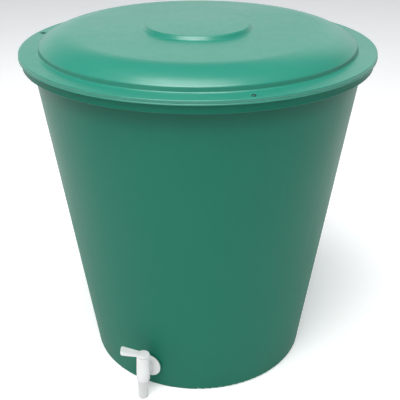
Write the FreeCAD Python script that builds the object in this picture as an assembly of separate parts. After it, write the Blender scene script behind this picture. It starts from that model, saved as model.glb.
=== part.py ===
import FreeCAD, Part
import os
from math import atan2, cos, degrees, hypot, radians, sin, sqrt, tan
from FreeCAD import Placement, Rotation, Vector

# Round plastic rain barrel with a domed lid and a quarter-turn tap, in millimetres.
# +Z is up, the origin is the centre of the face it stands on, and -Y is the front.
# Angles round the barrel are compass-like: 0 at the front, positive towards +X.

# Tub: a tapered round vessel with a raised floor and a turned-down rim.
BASE_RADIUS = 212.2
WALL_SLOPE = 0.1348
TUB_WALL = 3.5
FLOOR_RAISE = 8.0
FLOOR_THICKNESS = 4.0
FLOOR_PANEL_RADIUS = 176.0
STANDING_RING_INNER = 184.0
BASE_FILLET = 4.0
BASE_INNER_FILLET = 5.0
PANEL_FILLET = 6.0
PANEL_INNER_FILLET = 5.0
STANDING_RING_FILLET = 3.0
STANDING_RING_TOP_FILLET = 4.0

RIM_TOP_Z = 610.5
RIM_THICKNESS = 4.0
RIM_OUTER_RADIUS = 308.6
RIM_FILLET = 3.0
RIM_LIP_Z = 591.2
RIM_LIP_RADIUS = 311.0
RIM_LIP_WALL = 3.2
RIM_LIP_FLARE = 1.4
RIM_LIP_FLARE_HEIGHT = 2.2
RIM_LIP_BACK_EDGE = 0.8
RIM_LIP_FRONT_EDGE = 1.2

# Lid: raised central disc, flat crown, rounded shoulder, step, flat ring and lipped edge.
LID_WALL = 3.0
RING_TOP_Z = RIM_TOP_Z + LID_WALL
LID_RADIUS = 315.2
LID_EDGE_Z = 605.7
LID_EDGE_HEIGHT = 1.6
LID_EDGE_FILLET = 0.6
SKIRT_CORNER_RADIUS = 314.9
SKIRT_CORNER_FILLET = 1.6
SKIRT_FOOT_RADIUS = 314.2
SKIRT_FOOT_Z = 607.9
SKIRT_FOOT_FILLET = 0.4
STEP_FOOT_RADIUS = 281.2
STEP_FOOT_FILLET = 2.0
STEP_TOP_RADIUS = 279.8
STEP_TOP_FILLET = 4.0
CROWN_Z = 642.3
SHOULDER_RADIUS = 253.4
SHOULDER_FILLET = 90.0
SHOULDER_SLOPE = 38.0
DISC_TOP_Z = 648.9
DISC_RADIUS = 92.5
DISC_FILLET = 3.5
DISC_FOOT_RADIUS = 97.6
DISC_FOOT_FILLET = 3.0
LEAST_INNER_FILLET = 0.3
RIB_OUTER_RADIUS = 287.6
RIB_WALL = 3.0
RIB_DEPTH = 8.0
RIB_EDGE = 1.0

# Three screws hold the lid down on the rim.
SCREW_CIRCLE_RADIUS = 301.0
SCREW_ANGLES = (15.6, 135.6, -104.4)
SCREW_HEAD_RADIUS = 3.8
SCREW_HEAD_HEIGHT = 2.0
SCREW_HEAD_FILLET = 1.4
SCREW_SHANK_RADIUS = 2.0
SCREW_SHANK_LENGTH = 12.0
SCREW_SLOT_WIDTH = 1.0
SCREW_SLOT_LENGTH = 4.4
SCREW_SLOT_DEPTH = 1.1
SCREW_POINT_LENGTH = 2.5
SCREW_POINT_RADIUS = 0.4
SCREW_CLEARANCE_RADIUS = 2.4
SCREW_PILOT_RADIUS = 2.06
SCREW_PILOT_DEPTH = 12.5
SCREW_BOSS_RADIUS = 6.5
SCREW_BOSS_LENGTH = 11.5
DIMPLE_DEPTH = 1.2
DIMPLE_TOP_RADIUS = 8.0
DIMPLE_FLOOR_RADIUS = 5.0
DIMPLE_FILLET = 0.8

# Tap: where it sits on the wall, and its body.
TAP_ANGLE = -23.7
TAP_PORT_Z = 56.0
TAP_AXIS_RADIUS = 252.0
# The tap is screwed in slightly past upright: its top leans towards +X.
TAP_LEAN = -2.4
SPOT_FACE_RADIUS = 223.5
SPOT_BACK_RADIUS = 217.5
SPOT_PAD_RADIUS = 22.2
SPOT_POCKET_RADIUS = 20.2
SPOT_FLAT_RADIUS = 24.6
WALL_HOLE_RADIUS = 13.4
GASKET_THICKNESS = 2.0
GASKET_RADIUS = 20.9
WASHER_RADIUS = 19.2
FLANGE_RADIUS = 22.3
FLANGE_THICKNESS = 3.5
FLANGE_BACK_EDGE = 0.4
FLANGE_FRONT_FILLET = 1.2
NECK_RADIUS = 10.6
STUB_RADIUS = 13.2
STUB_ROOT_RADIUS = 12.1
STUB_PITCH = 1.814
STUB_END_RADIUS = 203.0
INLET_RADIUS = 8.0
PORT_RADIUS = 5.0
SLEEVE_RADIUS = 12.45
SLEEVE_BORE = 10.45
SLEEVE_BOTTOM_Z = 43.6
SLEEVE_TOP_Z = 97.5
SLEEVE_BOTTOM_FILLET = 0.5
SLEEVE_TOP_FILLET = 0.8
NUT_ACROSS_FLATS = 34.0
NUT_THICKNESS = 9.0
NUT_BORE = 13.25
NUT_CHAMFER = 2.0

# Tap plug: a hollow core that runs down through the sleeve and ends as the hose spout.
PLUG_RADIUS = 10.4
PLUG_BORE = 6.6
PLUG_BORE_TOP_Z = 68.0
SPOUT_END_Z = 2.6
SPOUT_RADIUS = 9.5
SPOUT_STRAIGHT_TOP_Z = 20.0
BEAD_RADIUS = 10.9
BEAD_HEIGHT = 1.8
BEAD_GAP = 0.8
BEAD_EDGE = 0.4
SPOUT_END_EDGE = 0.8
O_RING_SECTION = 0.985
O_RING_OUTER = 10.42
O_RING_LOWER_Z = 47.4
O_RING_UPPER_Z = 71.4
GROOVE_RADIUS = 8.42
GROOVE_WIDTH = 2.6
KEY_WIDTH = 11.0
KEY_HEIGHT = 2.4
LUG_OUTER = 11.3
LUG_HEIGHT = 2.6
LUG_WIDTH_ANGLE = 14.0
LUG_DROP = 0.1
STOP_SLOT_OUTER = 11.5
STOP_SLOT_DEPTH = 3.0

# Tap lever: a domed hub with a flared arm. It stands at its stored angle when the
# tap is shut, and a quarter turn between two stops opens it.
LEVER_SEAM = 0.8
LEVER_HUB_RADIUS = 11.8
LEVER_HUB_TOP_Z = 101.3
LEVER_HUB_FILLET = 2.4
LEVER_LENGTH = 41.5
LEVER_ROOT_DISTANCE = 2.0
LEVER_ROOT_HALF_WIDTH = 5.8
LEVER_TIP_HALF_WIDTH = 9.6
LEVER_TIP_FILLET = 4.5
LEVER_ROOT_TOP_Z = 101.3
LEVER_TIP_TOP_Z = 111.2
LEVER_TIP_BOTTOM_Z = 103.4
LEVER_ARM_EDGE = 1.2
LEVER_HUB_EDGE = 0.4
KEY_CLEARANCE = 0.05
LEVER_REST_HEADING = 180.0
OPEN_TURN = 66.9
SHUT_TURN = -23.1
STOP_MARGIN = 0.8

UP = Vector(0, 0, 1)
ORIGIN = Vector(0, 0, 0)
# How far a cutting or joining tool runs past the face it works on.
PAST = 1.0
SMALL = 1e-6


def wall_radius(z):
    """Outer radius of the tub wall at height z."""
    return BASE_RADIUS + WALL_SLOPE * z


def round_position(angle, radius, z=0.0):
    """The point at a compass angle, radius and height round the barrel."""
    return Vector(radius * sin(radians(angle)), -radius * cos(radians(angle)), z)


def corner_arc(before, corner, after, radius):
    """Start, middle and end of the arc that rounds a corner of an outline."""
    to_before = (before - corner).normalize()
    to_after = (after - corner).normalize()
    half_angle = to_before.getAngle(to_after) / 2
    reach = radius / tan(half_angle)
    bisector = (to_before + to_after).normalize()
    centre = corner + bisector * (radius / sin(half_angle))
    return corner + to_before * reach, centre - bisector * radius, corner + to_after * reach


def rounded_wire(corners):
    """A closed wire in the XZ plane from (r, z, fillet) corners."""
    points = [Vector(r, 0, z) for r, z, fillet in corners]
    edges = []
    joins = []
    for i, (r, z, fillet) in enumerate(corners):
        if fillet > 0:
            joins.append(corner_arc(points[i - 1], points[i], points[(i + 1) % len(points)], fillet))
        else:
            joins.append((points[i], None, points[i]))
    for i, (start, middle, end) in enumerate(joins):
        if middle is not None:
            edges.append(Part.Arc(start, middle, end).toShape())
        following = joins[(i + 1) % len(joins)][0]
        if end.distanceToPoint(following) > SMALL:
            edges.append(Part.makeLine(end, following))
    return Part.Wire(edges)


def revolve(corners):
    """A solid of revolution about +Z from (r, z, fillet) corners."""
    return Part.Face(rounded_wire(corners)).revolve(ORIGIN, UP, 360)


def offset_outline(corners, distance):
    """An open outline moved square to itself, keeping its fillets concentric.

    The outline runs outwards from the axis, and the offset side is below it.
    """
    normals = []
    for (r0, z0, _), (r1, z1, _) in zip(corners, corners[1:]):
        length = hypot(r1 - r0, z1 - z0)
        normals.append(((z1 - z0) / length, -(r1 - r0) / length))
    moved = []
    for i, (r, z, fillet) in enumerate(corners):
        if i == 0 or i == len(corners) - 1:
            nr, nz = normals[0] if i == 0 else normals[-1]
            moved.append((r + nr * distance, z + nz * distance, 0.0))
            continue
        (ar, az), (br, bz) = normals[i - 1], normals[i]
        scale = distance / (1 + ar * br + az * bz)
        turns_down = ar * bz - az * br < 0
        radius = 0.0
        if fillet > 0:
            radius = fillet - distance if turns_down else fillet + distance
        moved.append((r + (ar + br) * scale, z + (az + bz) * scale, max(radius, LEAST_INNER_FILLET)))
    return moved


def sector(inner, outer, z0, z1, middle_angle, width_angle):
    """Part of a flat ring, centred on middle_angle in degrees from local +X."""
    ring = Part.makeCylinder(outer, z1 - z0, Vector(0, 0, z0), UP, width_angle)
    ring = ring.cut(Part.makeCylinder(inner, z1 - z0 + 2 * PAST, Vector(0, 0, z0 - PAST)))
    ring.rotate(ORIGIN, UP, middle_angle - width_angle / 2)
    return ring


# ---- Frames -------------------------------------------------------------------

TAP_OUTWARD = round_position(TAP_ANGLE, 1.0)
TAP_AXIS = round_position(TAP_ANGLE, TAP_AXIS_RADIUS)
TAP_HEADING = degrees(atan2(TAP_OUTWARD.y, TAP_OUTWARD.x))
PORT_CENTRE = TAP_AXIS + Vector(0, 0, TAP_PORT_Z)
# Turns the upright tap about its port axis to the lean it was tightened to.
LEAN = Placement(Vector(), Rotation(TAP_OUTWARD, TAP_LEAN), PORT_CENTRE)


def on_tap(shape):
    """From the tap's own frame (local +X straight out of the wall) to the barrel's."""
    upright = Placement(TAP_AXIS, Rotation(UP, TAP_HEADING))
    shape.Placement = LEAN.multiply(upright).multiply(shape.Placement)
    return shape


def on_valve(shape):
    """From the turning core's own frame (local +X along the lever) to the barrel's."""
    upright = Placement(TAP_AXIS, Rotation(UP, LEVER_REST_HEADING))
    shape.Placement = LEAN.multiply(upright).multiply(shape.Placement)
    return shape


def tap_tube(outer, radius_from, radius_to, inner=0.0):
    """A round bar or tube on the port axis between two distances from the barrel axis."""
    start = Vector(radius_from - TAP_AXIS_RADIUS, 0, TAP_PORT_Z)
    out = Vector(1, 0, 0)
    tube = Part.makeCylinder(outer, radius_to - radius_from, start, out)
    if inner > 0:
        tube = tube.cut(Part.makeCylinder(inner, radius_to - radius_from, start, out))
    return tube


def along_port(shape):
    """Lays a shape turned about +Z along the port axis, its z as distance from the barrel."""
    shape.rotate(ORIGIN, Vector(0, 1, 0), 90)
    shape.translate(Vector(-TAP_AXIS_RADIUS, 0, TAP_PORT_Z))
    return shape


# ---- Tub and lid ---------------------------------------------------------------

def tub_outline():
    """Outer base, wall and rim, then back down the inside, as (r, z, fillet) corners."""
    underside = RIM_TOP_Z - RIM_THICKNESS
    wall_setback = TUB_WALL * sqrt(1 + WALL_SLOPE ** 2)
    lip_flare_z = RIM_LIP_Z + RIM_LIP_FLARE_HEIGHT
    panel_top = FLOOR_RAISE + FLOOR_THICKNESS
    return [
        (0, FLOOR_RAISE, 0),
        (FLOOR_PANEL_RADIUS, FLOOR_RAISE, PANEL_FILLET),
        (STANDING_RING_INNER, 0, STANDING_RING_FILLET),
        (BASE_RADIUS, 0, BASE_FILLET),
        (wall_radius(underside), underside, RIM_FILLET),
        (RIM_OUTER_RADIUS - RIM_LIP_WALL, underside, 0),
        (RIM_LIP_RADIUS - RIM_LIP_WALL, RIM_LIP_Z, RIM_LIP_BACK_EDGE),
        (RIM_LIP_RADIUS, RIM_LIP_Z, RIM_LIP_FRONT_EDGE),
        (RIM_LIP_RADIUS - RIM_LIP_FLARE, lip_flare_z, RIM_FILLET),
        (RIM_OUTER_RADIUS, RIM_TOP_Z, RIM_FILLET),
        (wall_radius(RIM_TOP_Z) - wall_setback, RIM_TOP_Z, RIM_FILLET),
        (wall_radius(FLOOR_THICKNESS) - wall_setback, FLOOR_THICKNESS, BASE_INNER_FILLET),
        (STANDING_RING_INNER + FLOOR_THICKNESS, FLOOR_THICKNESS, STANDING_RING_TOP_FILLET),
        (FLOOR_PANEL_RADIUS + FLOOR_THICKNESS, panel_top, PANEL_INNER_FILLET),
        (0, panel_top, 0),
    ]


def inner_volume():
    """The space inside the tub wall, for trimming the tap's seat."""
    setback = TUB_WALL * sqrt(1 + WALL_SLOPE ** 2)
    height = RIM_TOP_Z - FLOOR_THICKNESS
    bottom = wall_radius(FLOOR_THICKNESS) - setback
    top = wall_radius(RIM_TOP_Z) - setback
    return Part.makeCone(bottom, top, height, Vector(0, 0, FLOOR_THICKNESS))


def tap_seat():
    """Upright flat pad on the sloping wall, and the pocket and hole cut through it."""
    pad = on_tap(tap_tube(SPOT_PAD_RADIUS, SPOT_BACK_RADIUS, SPOT_FACE_RADIUS))
    root_start = SPOT_BACK_RADIUS - 2 * TUB_WALL
    root = on_tap(tap_tube(SPOT_PAD_RADIUS, root_start, SPOT_BACK_RADIUS)).cut(inner_volume())
    pocket = on_tap(tap_tube(SPOT_POCKET_RADIUS, STUB_END_RADIUS, SPOT_BACK_RADIUS))
    hole = on_tap(tap_tube(WALL_HOLE_RADIUS, STUB_END_RADIUS, SPOT_FACE_RADIUS + PAST))
    flat = on_tap(tap_tube(SPOT_FLAT_RADIUS, SPOT_FACE_RADIUS, TAP_AXIS_RADIUS))
    return pad.fuse(root), pocket.fuse(hole).fuse(flat)


def barrel():
    """The tub with its tap seat and the three screw bosses under the rim."""
    body = revolve(tub_outline())
    added, removed = tap_seat()
    body = body.fuse(added).cut(removed)
    for angle in SCREW_ANGLES:
        foot_z = RIM_TOP_Z - RIM_THICKNESS / 2 - SCREW_BOSS_LENGTH
        foot = round_position(angle, SCREW_CIRCLE_RADIUS, foot_z)
        body = body.fuse(Part.makeCylinder(SCREW_BOSS_RADIUS, SCREW_BOSS_LENGTH, foot))
    for angle in SCREW_ANGLES:
        bottom = round_position(angle, SCREW_CIRCLE_RADIUS, RIM_TOP_Z - SCREW_PILOT_DEPTH)
        body = body.cut(Part.makeCylinder(SCREW_PILOT_RADIUS, SCREW_PILOT_DEPTH + PAST, bottom))
    return body.removeSplitter()


def lid_top_outline():
    """Upper surface of the lid from the centre out, as (r, z, fillet) corners."""
    shoulder_drop = (STEP_TOP_RADIUS - SHOULDER_RADIUS) * tan(radians(SHOULDER_SLOPE))
    return [
        (0, DISC_TOP_Z, 0),
        (DISC_RADIUS, DISC_TOP_Z, DISC_FILLET),
        (DISC_FOOT_RADIUS, CROWN_Z, DISC_FOOT_FILLET),
        (SHOULDER_RADIUS, CROWN_Z, SHOULDER_FILLET),
        (STEP_TOP_RADIUS, CROWN_Z - shoulder_drop, STEP_TOP_FILLET),
        (STEP_FOOT_RADIUS, RING_TOP_Z, STEP_FOOT_FILLET),
        (SKIRT_CORNER_RADIUS, RING_TOP_Z, SKIRT_CORNER_FILLET),
        (SKIRT_FOOT_RADIUS, SKIRT_FOOT_Z, SKIRT_FOOT_FILLET),
        (LID_RADIUS, LID_EDGE_Z + LID_EDGE_HEIGHT, 0),
    ]


def lid():
    """The lid shell, its locating rib and its three screw dimples."""
    top = lid_top_outline()
    under = offset_outline(top, LID_WALL)[:-2]
    skirt_inner = SKIRT_FOOT_RADIUS - LID_WALL
    edge = [(LID_RADIUS, LID_EDGE_Z, LID_EDGE_FILLET), (skirt_inner, LID_EDGE_Z, LID_EDGE_FILLET)]
    under[-1] = (skirt_inner, RIM_TOP_Z, RIB_EDGE)
    top[-1] = (LID_RADIUS, top[-1][1], LID_EDGE_FILLET)
    shell = revolve(top + edge + under[::-1])
    rib_z = RIM_TOP_Z - RIB_DEPTH
    rib_inner = RIB_OUTER_RADIUS - RIB_WALL
    rib = revolve([
        (rib_inner, rib_z, RIB_EDGE),
        (RIB_OUTER_RADIUS, rib_z, RIB_EDGE),
        (RIB_OUTER_RADIUS, RIM_TOP_Z + LID_WALL / 2, 0),
        (rib_inner, RIM_TOP_Z + LID_WALL / 2, 0),
    ])
    shell = shell.fuse(rib)
    for angle in SCREW_ANGLES:
        centre = round_position(angle, SCREW_CIRCLE_RADIUS)
        dimple = revolve([
            (0, RING_TOP_Z - DIMPLE_DEPTH, 0),
            (DIMPLE_FLOOR_RADIUS, RING_TOP_Z - DIMPLE_DEPTH, DIMPLE_FILLET),
            (DIMPLE_TOP_RADIUS, RING_TOP_Z, 0),
            (DIMPLE_TOP_RADIUS, RING_TOP_Z + PAST, 0),
            (0, RING_TOP_Z + PAST, 0),
        ])
        dimple.translate(centre)
        drill_foot = centre + Vector(0, 0, RIM_TOP_Z - PAST)
        drill = Part.makeCylinder(SCREW_CLEARANCE_RADIUS, LID_WALL + PAST, drill_foot)
        shell = shell.cut(dimple.fuse(drill))
    return shell.removeSplitter()


def lid_screw(angle):
    """A pan-head screw with a cross slot, seated on the dimple's floor."""
    seat_z = RING_TOP_Z - DIMPLE_DEPTH
    tip_z = seat_z - SCREW_SHANK_LENGTH
    head_z = seat_z + SCREW_HEAD_HEIGHT
    screw = revolve([
        (0, tip_z, 0),
        (SCREW_POINT_RADIUS, tip_z, 0),
        (SCREW_SHANK_RADIUS, tip_z + SCREW_POINT_LENGTH, 0),
        (SCREW_SHANK_RADIUS, seat_z, 0),
        (SCREW_HEAD_RADIUS, seat_z, 0),
        (SCREW_HEAD_RADIUS, head_z, SCREW_HEAD_FILLET),
        (0, head_z, 0),
    ])
    slot = (SCREW_SLOT_LENGTH, SCREW_SLOT_WIDTH)
    for length, width in (slot, slot[::-1]):
        corner = Vector(-length / 2, -width / 2, head_z - SCREW_SLOT_DEPTH)
        screw = screw.cut(Part.makeBox(length, width, SCREW_SLOT_DEPTH + PAST, corner))
    screw.rotate(ORIGIN, UP, angle)
    screw.translate(round_position(angle, SCREW_CIRCLE_RADIUS))
    return screw


# ---- Tap: fixed pieces ------------------------------------------------------------

def threaded_stub(start, end):
    """The inlet stub on the port axis, with ring-shaped thread crests.

    Each crest starts, tops out and ends at these shares of the pitch.
    """
    flank_start, crest_start, crest_end, flank_end = 0.15, 0.45, 0.65, 0.95
    turns = int((end - start) / STUB_PITCH)
    corners = [(0, start, 0), (STUB_ROOT_RADIUS, start, 0)]
    for i in range(turns):
        foot = start + i * STUB_PITCH
        corners.append((STUB_ROOT_RADIUS, foot + flank_start * STUB_PITCH, 0))
        corners.append((STUB_RADIUS, foot + crest_start * STUB_PITCH, 0))
        corners.append((STUB_RADIUS, foot + crest_end * STUB_PITCH, 0))
        corners.append((STUB_ROOT_RADIUS, foot + flank_end * STUB_PITCH, 0))
    corners += [(STUB_ROOT_RADIUS, end, 0), (0, end, 0)]
    return along_port(revolve(corners))


def flange():
    """The round collar that presses the gasket on the wall, rounded on its front edge."""
    back = SPOT_FACE_RADIUS + GASKET_THICKNESS
    collar = revolve([
        (0, back, 0),
        (FLANGE_RADIUS, back, FLANGE_BACK_EDGE),
        (FLANGE_RADIUS, back + FLANGE_THICKNESS, FLANGE_FRONT_FILLET),
        (0, back + FLANGE_THICKNESS, 0),
    ])
    return along_port(collar)


def tap_body():
    """Threaded stub, flange, neck and upright sleeve, moulded in one piece."""
    flange_back = SPOT_FACE_RADIUS + GASKET_THICKNESS
    sleeve = revolve([
        (0, SLEEVE_BOTTOM_Z, 0),
        (SLEEVE_RADIUS, SLEEVE_BOTTOM_Z, SLEEVE_BOTTOM_FILLET),
        (SLEEVE_RADIUS, SLEEVE_TOP_Z, SLEEVE_TOP_FILLET),
        (0, SLEEVE_TOP_Z, 0),
    ])
    body = sleeve.fuse(tap_tube(NECK_RADIUS, flange_back, TAP_AXIS_RADIUS))
    body = body.fuse(flange()).fuse(threaded_stub(STUB_END_RADIUS, flange_back + PAST))
    sleeve_height = SLEEVE_TOP_Z - SLEEVE_BOTTOM_Z
    body = body.cut(Part.makeCylinder(SLEEVE_BORE, sleeve_height, Vector(0, 0, SLEEVE_BOTTOM_Z)))
    inlet_end = TAP_AXIS_RADIUS - SLEEVE_RADIUS - PAST
    body = body.cut(tap_tube(INLET_RADIUS, STUB_END_RADIUS, inlet_end))
    body = body.cut(tap_tube(PORT_RADIUS, inlet_end - PAST, TAP_AXIS_RADIUS))
    # The stop slot in the sleeve's top edge lets the plug's lug turn a quarter turn.
    lug_rest = LEVER_REST_HEADING - TAP_HEADING
    middle = lug_rest + (OPEN_TURN + SHUT_TURN) / 2
    width = OPEN_TURN - SHUT_TURN + LUG_WIDTH_ANGLE + 2 * STOP_MARGIN
    slot_z = SLEEVE_TOP_Z - STOP_SLOT_DEPTH
    slot = sector(SLEEVE_BORE - PAST, STOP_SLOT_OUTER, slot_z, SLEEVE_TOP_Z + PAST, middle, width)
    return on_tap(body.cut(slot).removeSplitter())


def tap_gasket():
    """Rubber ring between the flange and the wall."""
    ring_end = SPOT_FACE_RADIUS + GASKET_THICKNESS
    return on_tap(tap_tube(GASKET_RADIUS, SPOT_FACE_RADIUS, ring_end, WALL_HOLE_RADIUS))


def tap_washer():
    """Rubber ring between the wall and the nut, inside the tub."""
    ring_start = SPOT_BACK_RADIUS - GASKET_THICKNESS
    return on_tap(tap_tube(WASHER_RADIUS, ring_start, SPOT_BACK_RADIUS, WALL_HOLE_RADIUS))


def tap_nut():
    """Hexagonal lock nut on the stub, with chamfered corners."""
    outer = SPOT_BACK_RADIUS - GASKET_THICKNESS
    inner = outer - NUT_THICKNESS
    corner_radius = NUT_ACROSS_FLATS / sqrt(3)
    corners = []
    for i in range(7):
        turn = radians(60 * i)
        corners.append(Vector(inner - TAP_AXIS_RADIUS, corner_radius * cos(turn),
                              TAP_PORT_Z + corner_radius * sin(turn)))
    hexagon = Part.Face(Part.makePolygon(corners)).extrude(Vector(NUT_THICKNESS, 0, 0))
    dome = revolve([
        (0, inner, 0),
        (NUT_ACROSS_FLATS / 2, inner, 0),
        (corner_radius, inner + NUT_CHAMFER, 0),
        (corner_radius, outer, 0),
        (0, outer, 0),
    ])
    nut = hexagon.common(along_port(dome)).cut(tap_tube(NUT_BORE, inner, outer))
    return on_tap(nut)


# ---- Tap: turning pieces ----------------------------------------------------------

def tap_plug():
    """Hollow core with a side port, O-ring grooves, stop lug, lever key and spout."""
    bead_top = SLEEVE_BOTTOM_Z - BEAD_GAP
    bead_bottom = bead_top - BEAD_HEIGHT
    corners = [
        (PLUG_BORE, SPOUT_END_Z, SPOUT_END_EDGE),
        (SPOUT_RADIUS, SPOUT_END_Z, SPOUT_END_EDGE),
        (SPOUT_RADIUS, SPOUT_STRAIGHT_TOP_Z, 0),
        (PLUG_RADIUS, bead_bottom - BEAD_HEIGHT / 2, 0),
        (BEAD_RADIUS, bead_bottom, 0),
        (BEAD_RADIUS, bead_top, BEAD_EDGE),
        (PLUG_RADIUS, bead_top, 0),
    ]
    for z in (O_RING_LOWER_Z, O_RING_UPPER_Z):
        corners.append((PLUG_RADIUS, z - GROOVE_WIDTH / 2, 0))
        corners.append((GROOVE_RADIUS, z - GROOVE_WIDTH / 2, 0))
        corners.append((GROOVE_RADIUS, z + GROOVE_WIDTH / 2, 0))
        corners.append((PLUG_RADIUS, z + GROOVE_WIDTH / 2, 0))
    corners += [
        (PLUG_RADIUS, SLEEVE_TOP_Z, 0),
        (0, SLEEVE_TOP_Z, 0),
        (0, PLUG_BORE_TOP_Z, 0),
        (PLUG_BORE, PLUG_BORE_TOP_Z - PLUG_BORE, 0),
    ]
    plug = revolve(corners)
    key_corner = Vector(-KEY_WIDTH / 2, -KEY_WIDTH / 2, SLEEVE_TOP_Z - PAST)
    plug = plug.fuse(Part.makeBox(KEY_WIDTH, KEY_WIDTH, KEY_HEIGHT + PAST, key_corner))
    lug_top = SLEEVE_TOP_Z - LUG_DROP
    lug = sector(PLUG_RADIUS - PAST, LUG_OUTER, lug_top - LUG_HEIGHT, lug_top, 0, LUG_WIDTH_ANGLE)
    port_start = Vector(0, 0, TAP_PORT_Z)
    port = Part.makeCylinder(PORT_RADIUS, PLUG_RADIUS + PAST, port_start, Vector(-1, 0, 0))
    return on_valve(plug.fuse(lug).cut(port).removeSplitter())


def plug_o_ring(z):
    """A round-section rubber seal in the plug's groove."""
    centre_radius = O_RING_OUTER - O_RING_SECTION
    return on_valve(Part.makeTorus(centre_radius, O_RING_SECTION, Vector(0, 0, z)))


def lever_arm():
    """The arm: flared in plan, rising and thickening towards its tip."""
    bottom_z = SLEEVE_TOP_Z + LEVER_SEAM
    plan = [
        (LEVER_ROOT_DISTANCE, -LEVER_ROOT_HALF_WIDTH, 0),
        (LEVER_LENGTH, -LEVER_TIP_HALF_WIDTH, LEVER_TIP_FILLET),
        (LEVER_LENGTH, LEVER_TIP_HALF_WIDTH, LEVER_TIP_FILLET),
        (LEVER_ROOT_DISTANCE, LEVER_ROOT_HALF_WIDTH, 0),
    ]
    flat = Part.Face(rounded_wire(plan))
    flat.rotate(ORIGIN, Vector(1, 0, 0), -90)
    above = flat.extrude(Vector(0, 0, LEVER_LENGTH))
    above.translate(Vector(0, 0, bottom_z - PAST))
    side = [
        (LEVER_ROOT_DISTANCE - PAST, bottom_z, 0),
        (LEVER_HUB_RADIUS, bottom_z, 0),
        (LEVER_LENGTH + PAST, LEVER_TIP_BOTTOM_Z, 0),
        (LEVER_LENGTH + PAST, LEVER_TIP_TOP_Z, 0),
        (LEVER_ROOT_DISTANCE - PAST, LEVER_ROOT_TOP_Z, 0),
    ]
    half_width = LEVER_TIP_HALF_WIDTH + PAST
    slab = Part.Face(rounded_wire(side)).extrude(Vector(0, 2 * half_width, 0))
    slab.translate(Vector(0, -half_width, 0))
    arm = above.common(slab)
    rims = [e for e in arm.Edges if is_arm_rim(e)]
    return arm.makeFillet(LEVER_ARM_EDGE, rims)


def is_arm_rim(edge):
    """True for the edges round the arm's top and bottom faces, outside the hub."""
    xs = [v.Point.x for v in edge.Vertexes]
    zs = [v.Point.z for v in edge.Vertexes]
    upright = max(xs) - min(xs) < SMALL and max(zs) - min(zs) > LEVER_ARM_EDGE
    return max(xs) > LEVER_HUB_RADIUS + PAST and not upright


def tap_lever():
    """Domed hub and arm, with a square socket that fits over the plug's key."""
    bottom_z = SLEEVE_TOP_Z + LEVER_SEAM
    hub = revolve([
        (0, bottom_z, 0),
        (LEVER_HUB_RADIUS, bottom_z, LEVER_HUB_EDGE),
        (LEVER_HUB_RADIUS, LEVER_HUB_TOP_Z, LEVER_HUB_FILLET),
        (0, LEVER_HUB_TOP_Z, 0),
    ])
    width = KEY_WIDTH + 2 * KEY_CLEARANCE
    socket_top = SLEEVE_TOP_Z + KEY_HEIGHT + KEY_CLEARANCE
    corner = Vector(-width / 2, -width / 2, bottom_z - PAST)
    socket = Part.makeBox(width, width, socket_top - bottom_z + PAST, corner)
    return on_valve(hub.fuse(lever_arm()).cut(socket).removeSplitter())


# ---- Files ------------------------------------------------------------------------

def all_parts():
    """Every node's name and solid."""
    parts = {
        "barrel": barrel(),
        "lid": lid(),
        "tap_body": tap_body(),
        "tap_gasket": tap_gasket(),
        "tap_washer": tap_washer(),
        "tap_nut": tap_nut(),
        "tap_plug": tap_plug(),
        "plug_o_ring_lower": plug_o_ring(O_RING_LOWER_Z),
        "plug_o_ring_upper": plug_o_ring(O_RING_UPPER_Z),
        "tap_lever": tap_lever(),
    }
    for number, angle in enumerate(SCREW_ANGLES, start=1):
        parts[f"lid_screw_{number}"] = lid_screw(angle)
    return parts


def main():
    os.makedirs("parts", exist_ok=True)
    for name, shape in all_parts().items():
        solid_count = len(shape.Solids)
        print(name, "valid" if shape.isValid() else "NOT VALID", solid_count, round(shape.Volume))
        shape.exportStep(os.path.join("parts", name + ".step"))


main()
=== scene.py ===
from math import pi, radians

import bpy
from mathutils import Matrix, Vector

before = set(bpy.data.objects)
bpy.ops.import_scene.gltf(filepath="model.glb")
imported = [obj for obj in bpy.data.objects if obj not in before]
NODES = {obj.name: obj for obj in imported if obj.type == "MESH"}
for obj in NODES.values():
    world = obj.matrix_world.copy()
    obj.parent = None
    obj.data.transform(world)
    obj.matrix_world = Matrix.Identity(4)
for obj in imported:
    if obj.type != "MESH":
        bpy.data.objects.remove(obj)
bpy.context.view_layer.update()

# ---- Node trees: short calls to add and join nodes ------------------------------------


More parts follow.
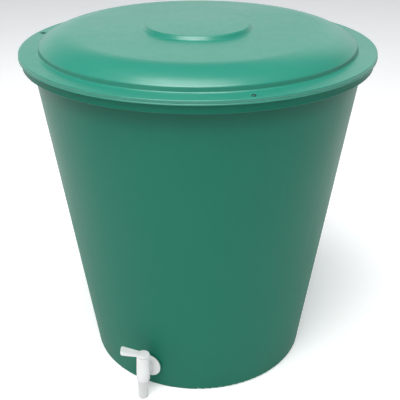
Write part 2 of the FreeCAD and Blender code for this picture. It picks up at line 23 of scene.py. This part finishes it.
class Tree:
    """A node tree with calls that add one node each and return its output."""

    def __init__(self, owner, coordinates):
        owner.use_nodes = True
        self.nodes = owner.node_tree.nodes
        self.links = owner.node_tree.links
        self.place = self.nodes.new("ShaderNodeTexCoord").outputs[coordinates]

    def join(self, value, socket):
        """Links an output to a socket, or sets the socket to a plain value."""
        if isinstance(value, bpy.types.NodeSocket):
            self.links.new(value, socket)
        else:
            socket.default_value = value

    def stretched(self, scale):
        """The coordinates multiplied axis by axis."""
        node = self.nodes.new("ShaderNodeMapping")
        self.links.new(self.place, node.inputs["Vector"])
        node.inputs["Scale"].default_value = scale
        return node.outputs["Vector"]

    def axis(self, name):
        node = self.nodes.new("ShaderNodeSeparateXYZ")
        self.links.new(self.place, node.inputs["Vector"])
        return node.outputs[name]

    def noise(self, scale, detail=3.0, rough=0.5, where=None):
        node = self.nodes.new("ShaderNodeTexNoise")
        self.links.new(where or self.place, node.inputs["Vector"])
        node.inputs["Scale"].default_value = scale
        node.inputs["Detail"].default_value = detail
        node.inputs["Roughness"].default_value = rough
        return node.outputs["Fac"]

    def ramp(self, value, low, high, to_low=0.0, to_high=1.0, smooth=False):
        """Maps low..high to to_low..to_high, held at both ends."""
        node = self.nodes.new("ShaderNodeMapRange")
        node.interpolation_type = "SMOOTHSTEP" if smooth else "LINEAR"
        self.join(value, node.inputs["Value"])
        for name, number in (("From Min", low), ("From Max", high), ("To Min", to_low), ("To Max", to_high)):
            node.inputs[name].default_value = number
        return node.outputs["Result"]

    def math(self, operation, a, b=0.0):
        node = self.nodes.new("ShaderNodeMath")
        node.operation = operation
        self.join(a, node.inputs[0])
        self.join(b, node.inputs[1])
        return node.outputs["Value"]

    def mix(self, amount, a, b):
        """Colour a at 0, colour b at 1."""
        node = self.nodes.new("ShaderNodeMix")
        node.data_type = "RGBA"
        self.join(amount, node.inputs["Factor"])
        self.join(a, node.inputs["A"])
        self.join(b, node.inputs["B"])
        return node.outputs["Result"]

    def bump(self, height, distance, strength=1.0, under=None):
        node = self.nodes.new("ShaderNodeBump")
        node.inputs["Distance"].default_value = distance
        node.inputs["Strength"].default_value = strength
        self.join(height, node.inputs["Height"])
        if under is not None:
            self.links.new(under, node.inputs["Normal"])
        return node.outputs["Normal"]


class Material(Tree):
    """A named material on object coordinates, in metres."""

    def __init__(self, name):
        self.material = bpy.data.materials.new(name)
        super().__init__(self.material, "Object")
        self.shader = self.nodes["Principled BSDF"]

    def set(self, socket, value):
        self.join(value, self.shader.inputs[socket])


# ---- Materials ---------------------------------------------------------------------------

# Linear colours. Each green has the tone of most of the surface and a paler one for its
# streaks and clouds.
TUB_GREEN = (0.003, 0.128, 0.08, 1)
TUB_PALE = (0.022, 0.172, 0.118, 1)
# The lid's greens are lighter and greyer than the tub's: painted light and sheen on its top.
LID_LIT_GREEN = (0.016, 0.195, 0.135, 1)
LID_LIT_PALE = (0.05, 0.255, 0.19, 1)
SHADE_GREEN = (0.0, 0.02, 0.012, 1)
RUBBER_DARK = (0.012, 0.012, 0.012, 1)
RUBBER_PALE = (0.03, 0.03, 0.029, 1)
PAINT_DARK = (0.01, 0.06, 0.045, 1)
PAINT_THIN = (0.03, 0.12, 0.09, 1)
TAP_WHITENESS = 0.68
# The spout looks greyer than the rest of the tap; that greyer white is painted shade.
PLUG_WHITENESS = 0.57

# The rim's shadow deepens between these heights, in metres, and the rim's own lip, which
# starts at the upper one, isn't in it.
SHADE_FROM = 0.545
RIM_FOOT = 0.591
# The wall gets glossier between these heights.
DULL_BELOW = 0.15
GLOSSY_ABOVE = 0.55


def green_plastic(name, colour, pale, rough, specular, foot_rough=0.0, rim_shade=0.0):
    """Moulded polyethylene: flow streaks, slight waviness, uneven gloss and fine grain.

    foot_rough is how much duller it is near the ground than at the rim. rim_shade deepens
    the rim's shadow on the wall, which these lights alone leave too pale.
    """
    tree = Material(name)
    cloud = tree.noise(4.0, 4.0)
    streaks = tree.noise(1.0, 4.0, 0.6, tree.stretched((90.0, 90.0, 5.0)))
    tone = tree.ramp(cloud, 0.3, 0.7, 0.0, 0.12)
    tone = tree.math("ADD", tone, tree.ramp(streaks, 0.35, 0.75, 0.0, 0.06))
    blend = tree.mix(tone, colour, pale)
    height = tree.axis("Z")
    shade = tree.ramp(height, SHADE_FROM, RIM_FOOT, 0.0, rim_shade, smooth=True)
    shade = tree.math("MULTIPLY", shade, tree.math("LESS_THAN", height, RIM_FOOT))
    tree.set("Base Color", tree.mix(shade, blend, SHADE_GREEN))
    gloss = tree.ramp(cloud, 0.3, 0.7, rough - 0.03, rough + 0.03)
    gloss = tree.math("ADD", gloss, tree.ramp(streaks, 0.3, 0.7, -0.02, 0.03))
    if foot_rough > 0:
        dull = tree.ramp(height, DULL_BELOW, GLOSSY_ABOVE, foot_rough, 0.0, smooth=True)
        gloss = tree.math("ADD", gloss, dull)
    tree.set("Roughness", gloss)
    waves = tree.noise(1.0, 2.0, 0.4, tree.stretched((9.0, 9.0, 2.5)))
    normal = tree.bump(waves, 0.004, 0.35)
    grain = tree.noise(900.0, 2.0)
    tree.set("Normal", tree.bump(grain, 0.00006, 0.5, normal))
    tree.shader.inputs["Specular IOR Level"].default_value = specular
    return tree.material


def white_plastic(name, whiteness):
    """Moulded nylon, slightly translucent and satin."""
    tree = Material(name)
    cloud = tree.noise(60.0, 3.0)
    high = (whiteness, whiteness, whiteness, 1)
    low = (whiteness - 0.03, whiteness - 0.03, whiteness - 0.035, 1)
    tree.set("Base Color", tree.mix(tree.ramp(cloud, 0.3, 0.7), low, high))
    tree.set("Roughness", tree.ramp(tree.noise(150.0), 0.3, 0.7, 0.3, 0.42))
    tree.set("Normal", tree.bump(tree.noise(1500.0, 2.0), 0.00004, 0.5))
    tree.shader.inputs["Subsurface Weight"].default_value = 0.3
    tree.shader.inputs["Subsurface Radius"].default_value = (0.003, 0.003, 0.003)
    return tree.material


def black_rubber():
    """Matt black rubber with a slightly uneven skin."""
    tree = Material("black_rubber")
    cloud = tree.noise(200.0, 4.0)
    tree.set("Base Color", tree.mix(tree.ramp(cloud, 0.3, 0.7), RUBBER_DARK, RUBBER_PALE))
    tree.set("Roughness", tree.ramp(cloud, 0.3, 0.7, 0.6, 0.8))
    tree.set("Normal", tree.bump(tree.noise(2500.0, 2.0), 0.00005))
    return tree.material


def screw_steel():
    """Painted steel: dark green, with thinner paint in places."""
    tree = Material("screw_steel")
    cloud = tree.noise(900.0, 4.0)
    tree.set("Base Color", tree.mix(tree.ramp(cloud, 0.45, 0.75), PAINT_DARK, PAINT_THIN))
    tree.set("Roughness", tree.ramp(cloud, 0.3, 0.7, 0.3, 0.5))
    tree.set("Normal", tree.bump(tree.noise(4000.0, 2.0), 0.00002))
    tree.shader.inputs["Metallic"].default_value = 0.2
    return tree.material


def paint(material, *names):
    """Gives CAD nodes one material, in place of what they came with."""
    for name in names:
        slots = NODES[name].data.materials
        slots.clear()
        slots.append(material)


tub_green = green_plastic(
    "green_tub_plastic", TUB_GREEN, TUB_PALE, rough=0.36, specular=0.17, foot_rough=0.18, rim_shade=0.4
)
lid_green = green_plastic("green_lid_plastic", LID_LIT_GREEN, LID_LIT_PALE, rough=0.32, specular=0.5)
paint(tub_green, "barrel")
paint(lid_green, "lid")
paint(white_plastic("white_plastic", TAP_WHITENESS), "tap_body", "tap_nut", "tap_lever")
# The plug, spout and all, gets the greyer white: painted shade.
paint(white_plastic("shaded_white_plastic", PLUG_WHITENESS), "tap_plug")
paint(black_rubber(), "tap_gasket", "tap_washer", "plug_o_ring_lower", "plug_o_ring_upper")
paint(screw_steel(), "lid_screw_1", "lid_screw_2", "lid_screw_3")

# ---- Studio ------------------------------------------------------------------------

FLOOR_HALF = 30.0
FLOOR_GLOW = 0.3
# Brightness of the surround: round the horizon behind and in front, and higher up.
HORIZON_BACK = (1.0, 1.03, 1.04, 1)
HORIZON_FRONT = (0.5, 0.51, 0.52, 1)
UPPER = (0.1, 0.12, 0.13, 1)
# Sines of the elevations between which the surround dims.
HORIZON_TOP = 0.25
UPPER_START = 0.5


def floor():
    """A pale floor that glows a little, so that it stays near white far from the lights."""
    mesh = bpy.data.meshes.new("studio_floor")
    h = FLOOR_HALF
    mesh.from_pydata([(-h, -h, 0), (h, -h, 0), (h, h, 0), (-h, h, 0)], [], [(0, 1, 2, 3)])
    obj = bpy.data.objects.new("studio_floor", mesh)
    bpy.context.scene.collection.objects.link(obj)
    tree = Material("studio_floor")
    cloud = tree.noise(2.0, 3.0)
    tree.set("Base Color", tree.mix(tree.ramp(cloud, 0.3, 0.7), (0.88, 0.88, 0.88, 1), (0.9, 0.9, 0.9, 1)))
    tree.set("Roughness", tree.ramp(cloud, 0.3, 0.7, 0.85, 0.9))
    tree.shader.inputs["Specular IOR Level"].default_value = 0.1
    tree.shader.inputs["Emission Color"].default_value = (1, 1, 1, 1)
    tree.shader.inputs["Emission Strength"].default_value = FLOOR_GLOW
    obj.data.materials.append(tree.material)


def surround():
    """The studio's walls: pale round the horizon, dimmer above and in front."""
    world = bpy.data.worlds.new("studio_world")
    bpy.context.scene.world = world
    tree = Tree(world, "Generated")
    horizon = tree.mix(tree.ramp(tree.axis("Y"), -0.6, 0.4, smooth=True), HORIZON_FRONT, HORIZON_BACK)
    height = tree.ramp(tree.axis("Z"), HORIZON_TOP, UPPER_START, smooth=True)
    tree.join(tree.mix(height, horizon, UPPER), tree.nodes["Background"].inputs["Color"])


def panel(name, place, aim, width, height, brightness):
    """A soft rectangular light of a given brightness, unseen by the camera."""
    light = bpy.data.lights.new(name, "AREA")
    light.shape = "RECTANGLE"
    light.size = width
    light.size_y = height
    light.energy = brightness * pi * width * height
    obj = bpy.data.objects.new(name, light)
    bpy.context.scene.collection.objects.link(obj)
    obj.location = place
    obj.rotation_euler = (Vector(aim) - Vector(place)).to_track_quat("-Z", "Y").to_euler()
    obj.visible_camera = False


floor()
surround()
panel("overhead", (-0.3, -0.9, 3.2), (-0.1, -0.2, 0.6), 2.2, 2.0, 9.0)
panel("front_top", (-0.6, -2.3, 3.05), (0, -0.3, 0.4), 1.8, 1.6, 3.6)
panel("front_low", (-1.5, -2.6, 0.7), (-0.1, -0.25, 0.1), 1.4, 0.9, 0.4)
panel("back_right", (1.7, 3.4, 2.6), (0, 0, 0.6), 1.6, 1.4, 0.6)

# ---- Camera ------------------------------------------------------------------------

# In front of the barrel, a little above its lid, looking down at it. Tilt 90 is level.
CAMERA_PLACE = (0.0037, -1.27923, 0.94507)
CAMERA_TILT = 63.188
LENS_MM = 64.911
SENSOR_MM = 36.0

camera_data = bpy.data.cameras.new("camera")
camera_data.lens = LENS_MM
camera_data.sensor_width = SENSOR_MM
camera = bpy.data.objects.new("camera", camera_data)
bpy.context.scene.collection.objects.link(camera)
camera.location = CAMERA_PLACE
camera.rotation_euler = (radians(CAMERA_TILT), 0, 0)
bpy.context.scene.camera = camera
bpy.context.scene.view_settings.view_transform = "Standard"
